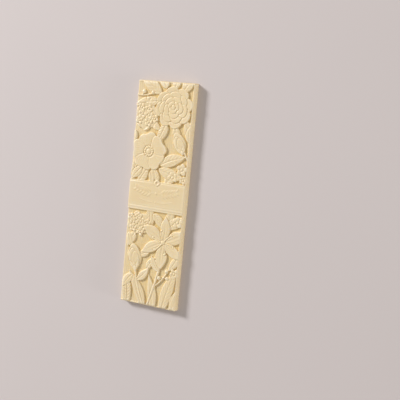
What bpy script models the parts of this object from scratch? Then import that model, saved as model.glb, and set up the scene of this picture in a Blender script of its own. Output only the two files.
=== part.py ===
"""A slim bar of white chocolate, moulded with a flower garden in low relief, lying on its flat back."""

import math
from dataclasses import dataclass

import bmesh
import bpy
import numpy as np

# Sizes in millimetres, turned into metres where the mesh is made.
MM = 0.001
BAR_LENGTH = 180.0
BAR_WIDTH = 51.0
GROUND_HEIGHT = 5.0
WALL_DRAFT = 0.35
CORNER_RADIUS = 1.2
TOP_EDGE_ROUND = 0.7
BACK_EDGE_ROUND = 0.3
CELL = 0.4
KEPT_SHARE = 0.085

# The plain field across the middle, measured along the bar from its centre.
BAND_TOP = 10.9
FIELD_TOP = 9.7
FIELD_FOOT = -9.6
STRIP_FOOT = -11.6
BAND_FOOT = -13.2
FIELD_HEIGHT = 1.5
LEDGE_HEIGHT = 1.32
LINE_DEPTH = 0.16
LINE_REACH = 0.3

# The gardens are drawn in levels near 1, which stand this high; tops over the knee are drawn in.
RELIEF_DEPTH = 1.38
TOP_KNEE = 1.45
KNEE_ROOM = 0.4

# How one plate of relief meets what lies under it.
EDGE_REACH = 0.22
GROOVE_REACH = 0.35
ROLL_REACH = 0.7
RIB_PITCH = 1.7
RIB_HEIGHT = 0.06
RIM_WIDTH = 1.3
RIM_SLOPE = 0.5
RIM_HEIGHT = 1.15
EDGE_POWER = 2.2
END_LEVEL = 0.6
END_REACH = 1.8
SOFTNESS = 0.18

# How the face of a plate is worked: its lip, its notch, its midrib, and its veins and ribs.
LIP_REACH = 0.45
NOTCH_REACH = 0.16
MIDRIB_REACH = 0.4
VEIN_SLANT = 0.22
VEIN_ROOT = 0.05
VEIN_FADE = 0.25
VEIN_SPREAD = 0.2
RIB_END = 1.15
RIB_FADE = 0.7
RIB_LEAST_HALF = 0.3

# Bends under this many degrees are drawn straight.
LEAST_BEND = 0.5

# An outline's measure is never taken to rise less steeply than this.
BLADE_SLOPE = 0.35
LOBE_SLOPE = 0.3

# As a blade's foot or blunt power, this keeps its width even nearly to that end.
EVEN_WIDTH = 0.02

# Between one blossom of a flower head and the next, in degrees.
SPIRAL_TURN = 137.508

WHITE_CHOCOLATE = (0.86, 0.68, 0.42, 1.0)
ROUGHNESS = 0.42


def smooth(share):
    """A soft step from 0 to 1 for shares from 0 to 1."""
    share = np.clip(share, 0.0, 1.0)
    return share * share * (3.0 - 2.0 * share)


def reach(x, y, heading, distance):
    """The point at a distance from (x, y) along a heading in degrees."""
    angle = math.radians(heading)
    return x + distance * math.cos(angle), y + distance * math.sin(angle)


def along_arc(x, y, heading, length, bend, share):
    """The point and the heading at a share of the way along a bent line."""
    here = heading + bend * share
    if abs(bend) < LEAST_BEND:
        return (*reach(x, y, heading, length * share), here)
    radius = length / math.radians(bend)
    first, last = math.radians(heading), math.radians(here)
    across = radius * (math.sin(last) - math.sin(first))
    upward = radius * (math.cos(first) - math.cos(last))
    return x + across, y + upward, here


def true_distance(measure, cell, least):
    """A measure that is 0 on an outline, turned into a distance from it."""
    slope_y, slope_x = np.gradient(measure, cell)
    return measure / np.maximum(np.hypot(slope_x, slope_y), least)


@dataclass(frozen=True)
class Blade:
    """A leaf, petal or stem: a plate along a bent spine from its foot to its tip."""

    x: float
    y: float
    heading: float
    length: float
    width: float
    bend: float = 0.0
    belly: float = 0.5
    foot: float = 1.0
    blunt: float = 1.0
    notch: float = 0.0
    level: float = 1.0
    rise: float = 0.0
    crown: float = 0.2
    roll: float = 0.12
    lip: float = 0.0
    ribs: int = 0
    rib: float = 0.0
    midrib: float = 0.0
    veins: int = 0
    vein: float = 0.0
    cut: float = 0.12

    def window(self):
        middle = reach(self.x, self.y, self.heading + self.bend / 2, self.length / 2)
        return (*middle, self.length / 2 + self.width / 2 + 1.0)

    def spine(self, x, y):
        """Shares along the spine and distances to its side."""
        turn = math.radians(self.heading)
        ahead = (x - self.x) * math.cos(turn) + (y - self.y) * math.sin(turn)
        aside = (y - self.y) * math.cos(turn) - (x - self.x) * math.sin(turn)
        if abs(self.bend) < LEAST_BEND:
            return ahead / self.length, aside
        angle = math.radians(self.bend)
        radius = self.length / angle
        sign = math.copysign(1.0, radius)
        share = np.arctan2(ahead, sign * (radius - aside)) / abs(angle)
        return share, sign * (abs(radius) - np.hypot(ahead, aside - radius))

    def half_width(self, share):
        share = np.clip(share, 1e-4, 1.0 - 1e-4)
        swell = np.sin(np.pi * share ** (math.log(0.5) / math.log(self.belly)))
        power = np.where(share < self.belly, self.foot, self.blunt)
        return 0.5 * self.width * swell**power

    def surface(self, x, y, cell):
        """Distance inside the outline, and the height of the plate's face."""
        share, aside = self.spine(x, y)
        notched = share + self.notch * np.exp(-((aside / (NOTCH_REACH * self.width)) ** 2))
        half = self.half_width(notched)
        beyond = np.maximum(np.maximum(-notched, notched - 1.0), 0.0) * self.length
        measure = np.where(beyond > 0.0, -beyond - np.abs(aside), half - np.abs(aside))
        inside = true_distance(measure, cell, BLADE_SLOPE)
        across = np.clip(np.abs(aside) / np.maximum(half, 0.05), 0.0, 1.0)
        share = np.clip(share, 0.0, 1.0)
        face = self.level + self.rise * share + self.crown * (1.0 - across**2)
        face += self.lip * np.exp(-(((inside - LIP_REACH) / LIP_REACH) ** 2))
        if self.ribs:
            span = np.maximum(half, RIB_LEAST_HALF)
            wave = 0.5 - 0.5 * np.cos(2.0 * np.pi * self.ribs * aside / span)
            face -= self.rib * wave * np.sin(np.pi * np.clip(share * RIB_END, 0.0, 1.0)) ** RIB_FADE
        face -= self.midrib * np.exp(-((aside / MIDRIB_REACH) ** 2)) * (1.0 - share**3)
        if self.veins:
            phase = (self.veins * (share - VEIN_SLANT * across)) % 1.0
            fade = (across > VEIN_ROOT) * np.clip((1.0 - across) / VEIN_FADE, 0.0, 1.0)
            face -= self.vein * np.exp(-(((phase - 0.5) / VEIN_SPREAD) ** 2)) * fade
        return inside, face - self.roll * (1.0 - np.clip(inside / ROLL_REACH, 0.0, 1.0)) ** 2


@dataclass(frozen=True)
class Lobe:
    """A round or oval plate with a gently waved outline: a petal, a berry or a boss."""

    x: float
    y: float
    along: float
    across: float
    turn: float = 0.0
    wobble: float = 0.0
    waves: int = 3
    phase: float = 0.0
    level: float = 1.0
    tilt: float = 0.0
    lean: float = 0.0
    crown: float = 0.2
    roll: float = 0.12
    lip: float = 0.0
    cut: float = 0.12

    def window(self):
        return self.x, self.y, max(self.along, self.across) * (1.0 + self.wobble) + 1.0

    def surface(self, x, y, cell):
        """Distance inside the outline, and the height of the plate's face."""
        turn = math.radians(self.turn)
        size = max(self.along, self.across)
        ahead = ((x - self.x) * math.cos(turn) + (y - self.y) * math.sin(turn)) / self.along
        aside = ((y - self.y) * math.cos(turn) - (x - self.x) * math.sin(turn)) / self.across
        radius = np.hypot(ahead, aside)
        outline = 1.0 + self.wobble * np.cos(self.waves * np.arctan2(aside, ahead) + self.phase)
        inside = true_distance(outline - radius, cell, LOBE_SLOPE / size)
        share = np.clip(radius / outline, 0.0, 1.0)
        lean = math.radians(self.lean)
        slope = ((x - self.x) * math.cos(lean) + (y - self.y) * math.sin(lean)) / size
        face = self.level + self.crown * (1.0 - share**2) + self.tilt * slope
        face += self.lip * np.exp(-(((inside - LIP_REACH) / LIP_REACH) ** 2))
        return inside, face - self.roll * (1.0 - np.clip(inside / ROLL_REACH, 0.0, 1.0)) ** 2


def leaf(x, y, heading, length, width, bend=0.0, level=0.8, veins=7):
    return [
        Blade(x, y, heading, length, width, bend, belly=0.42, foot=0.75, blunt=0.95, level=level,
              crown=0.22, roll=0.14, lip=0.08, midrib=0.26, veins=veins, vein=0.1)
    ]


def stem(x, y, heading, length, width, bend=0.0, level=0.75):
    return [
        Blade(x, y, heading, length, width, bend, foot=EVEN_WIDTH, blunt=EVEN_WIDTH, level=level,
              crown=0.35, cut=0.1)
    ]


def five_petals(x, y, size, turn, level):
    """A wide open flower of five notched petals round a boss ringed with beads."""
    petals, beads = 5, 13
    eye, boss, bead, bead_ring = (size * share for share in (0.3, 0.13, 0.052, 0.235))
    plates = []
    for index in range(petals):
        heading = turn + 360.0 * index / petals
        foot_x, foot_y = reach(x, y, heading, size * 0.06)
        plates.append(
            Blade(foot_x, foot_y, heading, size * 0.96, size * 1.12, bend=10, belly=0.66, foot=0.62,
                  blunt=0.36, notch=0.07, level=level - 0.2 + 0.05 * index, rise=0.22, crown=0.1,
                  lip=0.08, ribs=5, rib=0.09)
        )
    plates.append(Lobe(x, y, eye, eye, wobble=0.05, waves=11, level=level, crown=0.1, cut=0.24))
    for index in range(beads):
        bead_x, bead_y = reach(x, y, 360.0 * index / beads, bead_ring)
        plates.append(Lobe(bead_x, bead_y, bead, bead, level=level + 0.1, crown=0.25, roll=0.05))
    return plates + [Lobe(x, y, boss, boss, level=level + 0.1, crown=0.3)]


def full_flower(x, y, size, turn, level):
    """A double flower: four rows of rounded petals, each row smaller and higher.

    Each row is (petals, how far out, across, along, turned by), with its sizes as shares of the flower's.
    """
    row_step = 0.09
    rows = (
        (8, 0.66, 0.36, 0.34, 0),
        (7, 0.47, 0.31, 0.28, 22),
        (5, 0.29, 0.26, 0.22, 50),
        (3, 0.13, 0.2, 0.16, 10),
    )
    plates = []
    for row, (count, distance, across, along, offset) in enumerate(rows):
        for index in range(count):
            heading = turn + offset + 360.0 * index / count
            petal_x, petal_y = reach(x, y, heading, size * distance)
            plates.append(
                Lobe(petal_x, petal_y, size * along, size * across, turn=heading, wobble=0.045,
                     phase=1.3 * index + row, level=level + row_step * row, tilt=0.2, lean=heading,
                     crown=0.05, lip=0.06, cut=0.16)
            )
    top = level + row_step * len(rows)
    return plates + [
        Lobe(x, y, size * 0.1, size * 0.12, turn=turn, level=top, crown=0.2, cut=0.2)
    ]


def star_flower(x, y, size, turn, level):
    """A lily: three wide and three slim pointed petals, with six stamens."""
    root, knob = size * 0.05, size * 0.085
    thread_width, thread_length, head_ring = 0.75, size * 0.42, size * 0.46
    plates = []
    for ring, width in enumerate((0.5, 0.42)):
        for index in range(3):
            heading = turn + 60.0 * ring + 120.0 * index
            foot_x, foot_y = reach(x, y, heading, root)
            plates.append(
                Blade(foot_x, foot_y, heading, size * (1.0 - 0.03 * ring), size * width, bend=14,
                      foot=0.6, blunt=0.85, level=level - 0.15 + 0.12 * ring, rise=0.22,
                      crown=0.15, roll=0.14, lip=0.08, ribs=3, rib=0.09, midrib=0.22, cut=0.18)
            )
    for index in range(6):
        heading = turn + 30.0 + 60.0 * index
        foot_x, foot_y = reach(x, y, heading, root)
        plates.append(
            Blade(foot_x, foot_y, heading, thread_length, thread_width, bend=-16, foot=EVEN_WIDTH,
                  blunt=EVEN_WIDTH, level=level + 0.08, crown=0.3, roll=0.05)
        )
        head_x, head_y = reach(x, y, heading - 8.0, head_ring)
        plates.append(
            Lobe(head_x, head_y, 0.75, 1.35, turn=heading + 25.0, level=level + 0.15, crown=0.3)
        )
    return plates + [Lobe(x, y, knob, knob, level=level + 0.15, crown=0.3)]


def blossom(x, y, size, turn, level=1.0, petals=5):
    """A small flower of round petals about a button."""
    plates = []
    for index in range(petals):
        heading = turn + 360.0 * index / petals
        petal_x, petal_y = reach(x, y, heading, size * 0.55)
        plates.append(
            Lobe(petal_x, petal_y, size * 0.48, size * 0.42, turn=heading, level=level - 0.05,
                 tilt=0.1, lean=heading, crown=0.06, cut=0.1)
        )
    button = size * 0.24
    plates.append(Lobe(x, y, button, button, level=level - 0.05, crown=0.25, roll=0.05, cut=0.16))
    return plates


def flower_head(x, y, along, across, count, size, level, turn=0.0):
    """A rounded head of small blossoms over a low bed, in a sunflower spiral from its edge inward."""
    plates = [
        Lobe(x, y, along * 1.12, across * 1.12, wobble=0.09, waves=7, level=level - 0.32, crown=0.12)
    ]
    for index in reversed(range(count)):
        share = math.sqrt((index + 0.5) / count)
        angle = index * SPIRAL_TURN + turn
        blossom_x = x + along * share * math.cos(math.radians(angle))
        blossom_y = y + across * share * math.sin(math.radians(angle))
        petals = 5 if int(angle) % 3 else 4
        plates += blossom(blossom_x, blossom_y, size * (1.1 - 0.2 * share), angle, level, petals)
    return plates


def berry(x, y, size, level=0.8):
    """A ball with a small pit beside its top."""
    pit_x, pit_y, pit = x + size * 0.2, y - size * 0.25, size * 0.2
    return [
        Lobe(x, y, size, size, level=level - 0.08, crown=0.38),
        Lobe(pit_x, pit_y, pit, pit, level=level + 0.12, crown=-0.1, roll=0.0, cut=0.0),
    ]


def berry_twig(x, y, heading, length, bend, spots):
    """A thin twig with berries on short stalks: each spot is (share along, side, stalk)."""
    twig_width, stalk_width, stalk_angle, largest = 1.1, 0.8, 65.0, 1.9
    plates = stem(x, y, heading, length, twig_width, bend, 0.7)
    for share, side, stalk in spots:
        root_x, root_y, here = along_arc(x, y, heading, length, bend, share)
        out = here + stalk_angle * side
        plates += stem(root_x, root_y, out, stalk, stalk_width, level=0.68)
        plates += berry(*reach(root_x, root_y, out, stalk), largest * (1.0 - 0.15 * share))
    return plates


def fern(x, y, heading, length, width, bend, pairs, level=0.65):
    """A frond: pairs of small leaflets that shrink toward its tip."""
    leaflet_angle, leaflet_bend, stem_width = 52.0, -25.0, 0.95
    plates = []
    for index in range(pairs):
        share = (index + 0.6) / (pairs + 0.2)
        root_x, root_y, here = along_arc(x, y, heading, length, bend, share)
        size = width * math.sin(math.pi * (0.18 + 0.8 * share)) ** 0.8
        for side in (1, -1):
            plates.append(
                Blade(root_x, root_y, here + leaflet_angle * side, size * 0.56, size * 0.2 + 0.6,
                      bend=leaflet_bend * side, belly=0.45, foot=0.6, blunt=0.8, level=level,
                      crown=0.22, midrib=0.16, cut=0.1)
            )
    return plates + stem(x, y, heading, length, stem_width, bend, level + 0.12)


def bud(x, y, heading, size, level=0.97):
    """A half-open bud: five wrapped petals, each laid over the last, in a cup of three sepals.

    Each petal is (turned by, length, width, bend, lift), with its sizes as shares of the bud's.
    """
    petals = (
        (24.0, 0.86, 0.42, -34.0, -0.12),
        (-24.0, 0.86, 0.42, 34.0, -0.06),
        (-3.0, 1.0, 0.56, 6.0, 0.06),
        (13.0, 0.82, 0.4, -22.0, 0.18),
        (-15.0, 0.7, 0.34, 20.0, 0.3),
    )
    plates = []
    for offset, long, wide, bend, lift in petals:
        plates.append(
            Blade(x, y, heading + offset, size * long, size * wide, bend=bend, belly=0.54,
                  foot=0.5, blunt=0.62, level=level - 0.1 + lift, rise=0.08, crown=0.12,
                  lip=0.07, cut=0.2)
        )
    for offset in (-46.0, 0.0, 46.0):
        plates.append(
            Blade(x, y, heading + offset, size * 0.34, size * 0.15, bend=-0.6 * offset, belly=0.4,
                  foot=0.5, blunt=0.9, level=level + 0.15, midrib=0.12, cut=0.16)
        )
    return plates + [Lobe(x, y, size * 0.1, size * 0.085, turn=heading, level=level + 0.2, crown=0.2)]


def upper_garden():
    """The plates of the relief above the plain field, lowest first."""
    plates = leaf(-17, 9, 64, 16, 8.5, -14, 0.64) + leaf(-2, 9, 98, 15, 8.5, 14, 0.64)
    plates += leaf(7, 9, 62, 15, 8, -12, 0.64) + fern(-24, 11, 70, 30, 12, 6, 11)
    plates += leaf(-3, 80, 150, 27, 10, -22, 0.72) + leaf(-4, 74, 182, 24, 8.5, 20)
    plates += leaf(15, 82, 58, 17, 8.5, -14, 0.72) + leaf(1, 84, 112, 14, 7.5, 12)
    plates += leaf(8, 84, 74, 13, 7, 10, 0.7) + leaf(20, 60, -62, 20, 8.5, -18, 0.72)
    plates += leaf(3, 58, 258, 19, 8, -26) + leaf(11, 56, 282, 14, 6.5, 24, 0.72)
    plates += leaf(-19, 52, 108, 12, 6, 20, 0.7) + leaf(-16, 50, 70, 14, 6.5, -16)
    plates += leaf(-24, 50, 262, 12, 6, 14, 0.7) + leaf(1, 24, 30, 24, 9.5, -18)
    plates += leaf(0, 21, -20, 25, 9, 14) + leaf(-15, 21, 222, 14, 7, 16)
    plates += leaf(-7, 19, 290, 12, 6, -20) + leaf(-2, 52, 150, 13, 6, -20, 0.72)
    plates += leaf(24, 44, 96, 13, 6, -14, 0.72) + stem(25, 30, 128, 12, 1.5, -20)
    plates += berry_twig(-25.5, 78, -8, 15, 30, ((0.35, 1, 3.2), (0.62, -1, 3.4), (0.98, 1, 0.6)))
    plates += full_flower(8.5, 70, 16.5, 12, 0.88)
    plates += flower_head(-15.0, 61.5, 8.8, 8.6, 7, 3.6, 0.95, 20)
    plates += bud(19.5, 35.5, 116, 17, 0.95)
    plates += five_petals(-10, 34, 14.6, 100, 1.02)
    plates += blossom(20.5, 22.5, 4.8, 10, 1.1) + blossom(13, 15.6, 4.3, 40, 1.05)
    return plates + blossom(22.2, 14.4, 3.4, 70)


def lower_garden():
    """The plates of the relief below the plain field, lowest first."""
    plates = leaf(-5, -11, 282, 17, 8.5, -14, 0.64) + leaf(15, -11, 258, 16, 8.5, 12, 0.64)
    plates += fern(-20, -93, 86, 25, 12.5, 16, 10, 0.75)
    plates += leaf(26, -16, 205, 20, 8.5, 20, 0.7) + leaf(-1, -15, -38, 17, 7, -18, 0.7)
    plates += leaf(-2, -33, 118, 15, 7, -22, 0.72) + leaf(-16, -32, 232, 14, 7, 22, 0.75)
    plates += leaf(-22, -33, 282, 13, 6, 14, 0.68) + leaf(13, -93, 80, 40, 10, -14, 0.78, 10)
    plates += leaf(22, -92, 78, 24, 8.5, -10, 0.84) + leaf(-3, -92, 110, 33, 9, 18, 0.8, 9)
    plates += leaf(5, -93, 92, 30, 8, 18, 0.86, 8) + leaf(-2, -46, 196, 12, 6, 20, 0.75)
    plates += leaf(-3, -60, 68, 13, 5.5, -26, 0.8) + leaf(24, -46, 250, 15, 6.5, -24, 0.75)
    plates += stem(-13.5, -61, 282, 33, 1.8, 16, 0.85) + stem(9, -52, 262, 42, 2.0, -12, 0.85)
    plates += leaf(-15, -66, 222, 15, 7, 24) + leaf(-11, -70, 36, 15, 6.5, 26, 0.85)
    plates += leaf(8.5, -60, 140, 14, 6.5, -30, 0.85)
    plates += berry_twig(6, -72, 40, 16, 24, ((0.35, 1, 3.0), (0.66, -1, 3.2), (0.98, 1, 0.6)))
    plates += flower_head(-13.8, -23.8, 9.6, 7.8, 8, 3.5, 0.95, 40)
    plates += star_flower(10, -36.5, 20.5, 22, 0.98)
    plates += bud(-13.5, -61, 100, 20)
    return plates + blossom(21, -19, 4.4, 20) + blossom(22.0, -60, 4.0, 50)


def lozenge(x, y, size, level, crown=0.1, cut=0.0, pit=0.0):
    """A small four-sided boss with soft corners, and a pit of its own shape in the middle."""
    squareness, pit_size = 0.09, size * 0.42
    plates = [Lobe(x, y, size, size, wobble=squareness, waves=4, level=level, crown=crown, cut=cut)]
    if pit:
        plates.append(
            Lobe(x, y, pit_size, pit_size, wobble=squareness, waves=4, level=level - pit, crown=0.0,
                 roll=0.0, cut=0.0)
        )
    return plates


def sprig(x, y, side, length=17.0, bend=22.0, leaves=6):
    """A sprig laid very low on the plain field, running to one side, or its bare thread."""
    thread_width, leaf_width, leaf_angle = 0.55, 2.1, 42.0
    start = 90.0 - 90.0 * side
    plates = [
        Blade(x, y, start, length, thread_width, bend=bend * side, foot=EVEN_WIDTH,
              blunt=EVEN_WIDTH, level=FIELD_HEIGHT + 0.1, crown=0.08, roll=0.03, cut=0.0)
    ]
    for index in range(leaves):
        share = (index + 0.7) / (leaves + 0.4)
        root_x, root_y, here = along_arc(x, y, start, length, bend * side, share)
        leaf_length = 5.4 - 0.35 * index
        for upward in (1, -1):
            plates.append(
                Blade(root_x, root_y, here + leaf_angle * upward, leaf_length, leaf_width, foot=0.7,
                      blunt=0.8, level=FIELD_HEIGHT + 0.12, crown=0.14, roll=0.08, midrib=0.08,
                      cut=0.0)
            )
    return plates


def laurel():
    """Two mirrored sprigs over two threads, with a lozenge between each pair and one on the line."""
    plates = sprig(2.5, 1.4, 1) + sprig(-2.5, 1.4, -1)
    plates += lozenge(0, 1.4, 1.3, FIELD_HEIGHT + 0.12, 0.16)
    plates += sprig(2.0, -5.8, 1, 13.0, 17.0, 0) + sprig(-2.0, -5.8, -1, 13.0, 17.0, 0)
    plates += lozenge(0, -5.8, 0.9, FIELD_HEIGHT + 0.1, 0.12)
    return plates + lozenge(0, FIELD_TOP, 2.6, FIELD_HEIGHT + 0.22, 0.05, 0.2, 0.45)


class Relief:
    """Heights above the sunk ground, on a square grid that covers the bar's face."""

    def __init__(self, width, length, cell):
        self.cell = cell
        self.columns = np.linspace(-width / 2, width / 2, round(width / cell) + 1)
        self.rows = np.linspace(-length / 2, length / 2, round(length / cell) + 1)
        self.x, self.y = np.meshgrid(self.columns, self.rows)
        self.height = RIB_HEIGHT * np.cos(2.0 * np.pi * self.x / RIB_PITCH)

    def lay(self, plate):
        """Sets one plate over what is there, with a groove cut round its outline."""
        x, y, radius = plate.window()
        first, last = np.searchsorted(self.columns, (x - radius, x + radius))
        bottom, top = np.searchsorted(self.rows, (y - radius, y + radius))
        if last - first < 3 or top - bottom < 3:
            return
        part = (slice(bottom, top), slice(first, last))
        below = self.height[part]
        inside, face = plate.surface(self.x[part], self.y[part], self.cell)
        cover = smooth((inside + EDGE_REACH) / (2.0 * EDGE_REACH))
        beside = np.minimum(inside + EDGE_REACH, 0.0) / GROOVE_REACH
        grooved = np.maximum(below - plate.cut * np.exp(-(beside**2)), np.minimum(below, 0.0))
        self.height[part] = grooved * (1.0 - cover) + face * cover

    def level_tops(self):
        """Gives the relief its depth, and draws its highest tops in toward one level."""
        deep = self.height * RELIEF_DEPTH
        over = np.maximum(deep - TOP_KNEE, 0.0)
        eased = TOP_KNEE + KNEE_ROOM * (1.0 - np.exp(-over / KNEE_ROOM))
        self.height = np.where(deep > TOP_KNEE, eased, deep)

    def level_strip(self, foot, top, height):
        inside = np.minimum(self.y - foot, top - self.y)
        cover = smooth((inside + EDGE_REACH) / (2.0 * EDGE_REACH))
        self.height = self.height * (1.0 - cover) + height * cover

    def scribe(self, y, depth):
        self.height = self.height - depth * np.exp(-(((self.y - y) / LINE_REACH) ** 2))

    def round_edges(self):
        """Eases both ends to one level, sets the rim on the right and rolls the outer edge."""
        kept = smooth((self.rows[-1] - np.abs(self.y)) / END_REACH)
        self.height = END_LEVEL + (self.height - END_LEVEL) * kept
        rim = smooth((self.x - self.columns[-1] + RIM_WIDTH) / RIM_SLOPE)
        self.height = np.maximum(self.height, RIM_HEIGHT * rim)
        sides = np.minimum(self.columns[-1] - np.abs(self.x), self.rows[-1] - np.abs(self.y))
        self.height = self.height - np.clip(1.0 - sides / TOP_EDGE_ROUND, 0.0, 1.0) ** EDGE_POWER

    def soften(self, reach_mm):
        """A Gaussian blur of the heights, along the rows and then the columns."""
        spread = reach_mm / self.cell
        half = int(3 * spread) + 1
        weights = np.exp(-0.5 * (np.arange(-half, half + 1) / spread) ** 2)
        weights /= weights.sum()
        padded = np.pad(self.height, half, mode="edge")
        padded = sum(w * padded[i : i + self.height.shape[0]] for i, w in enumerate(weights))
        self.height = sum(w * padded[:, i : i + self.height.shape[1]] for i, w in enumerate(weights))


def moulded_face(width, length, cell):
    """The whole relief of the bar's face."""
    relief = Relief(width, length, cell)
    for plate in upper_garden() + lower_garden():
        relief.lay(plate)
    relief.level_tops()
    relief.level_strip(BAND_FOOT, BAND_TOP, LEDGE_HEIGHT)
    relief.level_strip(STRIP_FOOT, FIELD_TOP, FIELD_HEIGHT)
    for y in (FIELD_TOP, FIELD_FOOT, STRIP_FOOT):
        relief.scribe(y, LINE_DEPTH)
    for plate in laurel():
        relief.lay(plate)
    relief.round_edges()
    relief.soften(SOFTNESS)
    return relief


def rounded_corners(x, y, half_width, half_length):
    """Draws the square corners of a grid in to the bar's corner radius."""
    past_x = np.clip((np.abs(x) - half_width + CORNER_RADIUS) / CORNER_RADIUS, 0.0, None)
    past_y = np.clip((np.abs(y) - half_length + CORNER_RADIUS) / CORNER_RADIUS, 0.0, None)
    far = np.maximum(np.hypot(past_x, past_y), 1e-9)
    shrink = np.where((past_x > 0) & (past_y > 0), np.maximum(past_x, past_y) / far, 1.0)
    near_x = np.minimum(np.abs(x), half_width - CORNER_RADIUS)
    near_y = np.minimum(np.abs(y), half_length - CORNER_RADIUS)
    new_x = np.sign(x) * (near_x + past_x * shrink * CORNER_RADIUS)
    new_y = np.sign(y) * (near_y + past_y * shrink * CORNER_RADIUS)
    return new_x, new_y


def outset_ring(mesh, ring, outward, height):
    """A copy of the ring round the bar's face, moved outward and set at a height above the back."""
    scale_x = 1.0 + 2.0 * outward / (BAR_WIDTH - 2.0 * WALL_DRAFT)
    scale_y = 1.0 + 2.0 * outward / (BAR_LENGTH - 2.0 * WALL_DRAFT)
    return [mesh.verts.new((v.co.x * scale_x, v.co.y * scale_y, height * MM)) for v in ring]


def bar_mesh(name):
    """The closed body: the relief on top, drafted walls and a flat back."""
    width = BAR_WIDTH - 2.0 * WALL_DRAFT
    length = BAR_LENGTH - 2.0 * WALL_DRAFT
    relief = moulded_face(width, length, CELL)
    x, y = rounded_corners(relief.x, relief.y, width / 2, length / 2)
    mesh = bmesh.new()
    face = [
        [
            mesh.verts.new((x[j, i] * MM, y[j, i] * MM, (GROUND_HEIGHT + relief.height[j, i]) * MM))
            for i in range(x.shape[1])
        ]
        for j in range(x.shape[0])
    ]
    for j in range(len(face) - 1):
        for i in range(len(face[0]) - 1):
            mesh.faces.new((face[j][i], face[j][i + 1], face[j + 1][i + 1], face[j + 1][i]))
    right_side = [row[-1] for row in face[1:]]
    left_side = [row[0] for row in face[-2:0:-1]]
    ring = face[0] + right_side + face[-1][-2::-1] + left_side
    shoulder = outset_ring(mesh, ring, WALL_DRAFT, BACK_EDGE_ROUND)
    foot = outset_ring(mesh, ring, WALL_DRAFT - BACK_EDGE_ROUND / 2, 0.0)
    for above, under in ((ring, shoulder), (shoulder, foot)):
        for i in range(len(ring)):
            k = (i + 1) % len(ring)
            mesh.faces.new((above[i], under[i], under[k], above[k]))
    mesh.faces.new(foot[::-1])
    bmesh.ops.recalc_face_normals(mesh, faces=mesh.faces)
    data = bpy.data.meshes.new(name)
    mesh.to_mesh(data)
    mesh.free()
    return data


def white_chocolate():
    material = bpy.data.materials.new("white_chocolate")
    material.use_nodes = True
    surface = material.node_tree.nodes["Principled BSDF"]
    surface.inputs["Base Color"].default_value = WHITE_CHOCOLATE
    surface.inputs["Roughness"].default_value = ROUGHNESS
    return material


def main():
    for leftover in list(bpy.data.objects):
        bpy.data.objects.remove(leftover)
    bar = bpy.data.objects.new("chocolate_bar", bar_mesh("chocolate_bar"))
    bar.data.materials.append(white_chocolate())
    bpy.context.scene.collection.objects.link(bar)
    fewer = bar.modifiers.new("fewer_triangles", "DECIMATE")
    fewer.ratio = KEPT_SHARE
    fewer.use_collapse_triangulate = True


main()
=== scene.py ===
"""Dresses a slim bar of white chocolate: its low relief, its finish and a plain studio."""

import logging
import math
from dataclasses import dataclass, field
from enum import Enum
from typing import Any

import bpy
import numpy as np
from mathutils import Matrix, Vector
from numpy.typing import NDArray

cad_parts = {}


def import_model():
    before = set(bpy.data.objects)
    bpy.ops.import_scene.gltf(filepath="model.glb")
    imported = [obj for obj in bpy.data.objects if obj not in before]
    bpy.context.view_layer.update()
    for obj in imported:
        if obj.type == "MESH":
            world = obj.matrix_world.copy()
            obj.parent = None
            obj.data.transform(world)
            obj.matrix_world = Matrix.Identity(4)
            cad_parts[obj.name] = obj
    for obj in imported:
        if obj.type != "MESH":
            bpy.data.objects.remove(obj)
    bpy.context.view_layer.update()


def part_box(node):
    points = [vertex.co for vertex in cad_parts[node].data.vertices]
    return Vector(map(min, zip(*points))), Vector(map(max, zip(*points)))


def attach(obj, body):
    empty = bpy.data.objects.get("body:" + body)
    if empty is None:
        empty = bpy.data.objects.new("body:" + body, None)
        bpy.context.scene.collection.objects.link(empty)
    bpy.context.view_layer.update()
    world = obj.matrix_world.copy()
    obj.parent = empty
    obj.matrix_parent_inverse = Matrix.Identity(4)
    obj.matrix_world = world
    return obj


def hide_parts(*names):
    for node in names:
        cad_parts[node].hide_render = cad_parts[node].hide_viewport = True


Grid = NDArray[np.float64]
Triple = tuple[float, float, float]
Colour = tuple[float, float, float, float]

LOG = logging.getLogger("chocolate_bar")

MM = 0.001

# Bends under this many degrees are drawn straight.
LEAST_BEND = 0.5

# As a blade's foot or blunt power, this keeps its width even nearly to that end.
EVEN_WIDTH = 0.02


class Side(Enum):
    """The two sides of a spine, or the two halves of a mirrored figure."""

    LEFT = 1
    RIGHT = -1


class LeafFace(Enum):
    """How a leaf's face is worked."""

    VEINED = "slanting veins"
    RIDGED = "ridges along the leaf"


def smooth_step(share: Grid) -> Grid:
    """Eases shares from 0 to 1, flat at both ends, and clips those outside."""
    clipped = np.clip(share, 0.0, 1.0)
    return clipped * clipped * (3.0 - 2.0 * clipped)


def reach(x: float, y: float, heading: float, distance: float) -> tuple[float, float]:
    """Gives the point at a distance along a heading, in degrees anticlockwise from +X."""
    angle = math.radians(heading)
    return x + distance * math.cos(angle), y + distance * math.sin(angle)


def true_distance(measure: Grid, cell: float, least: float) -> Grid:
    """Turns a measure that is 0 on an outline, and slopes at least so much, into distances inside."""
    slope_y, slope_x = np.gradient(measure, cell)
    return measure / np.maximum(np.hypot(slope_x, slope_y), least)


def turned(x: Grid, y: Grid, heading: float) -> tuple[Grid, Grid]:
    """Gives how far offsets (x, y) reach along a heading, and how far to its left."""
    across, upward = reach(0.0, 0.0, heading, 1.0)
    return x * across + y * upward, y * across - x * upward


def direction(bearing: float, elevation: float) -> Vector:
    """Gives the unit vector at degrees from +X toward +Y and degrees over the floor."""
    flat, upward = reach(0.0, 0.0, elevation, 1.0)
    return Vector((*reach(0.0, 0.0, bearing, flat), upward))


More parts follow.
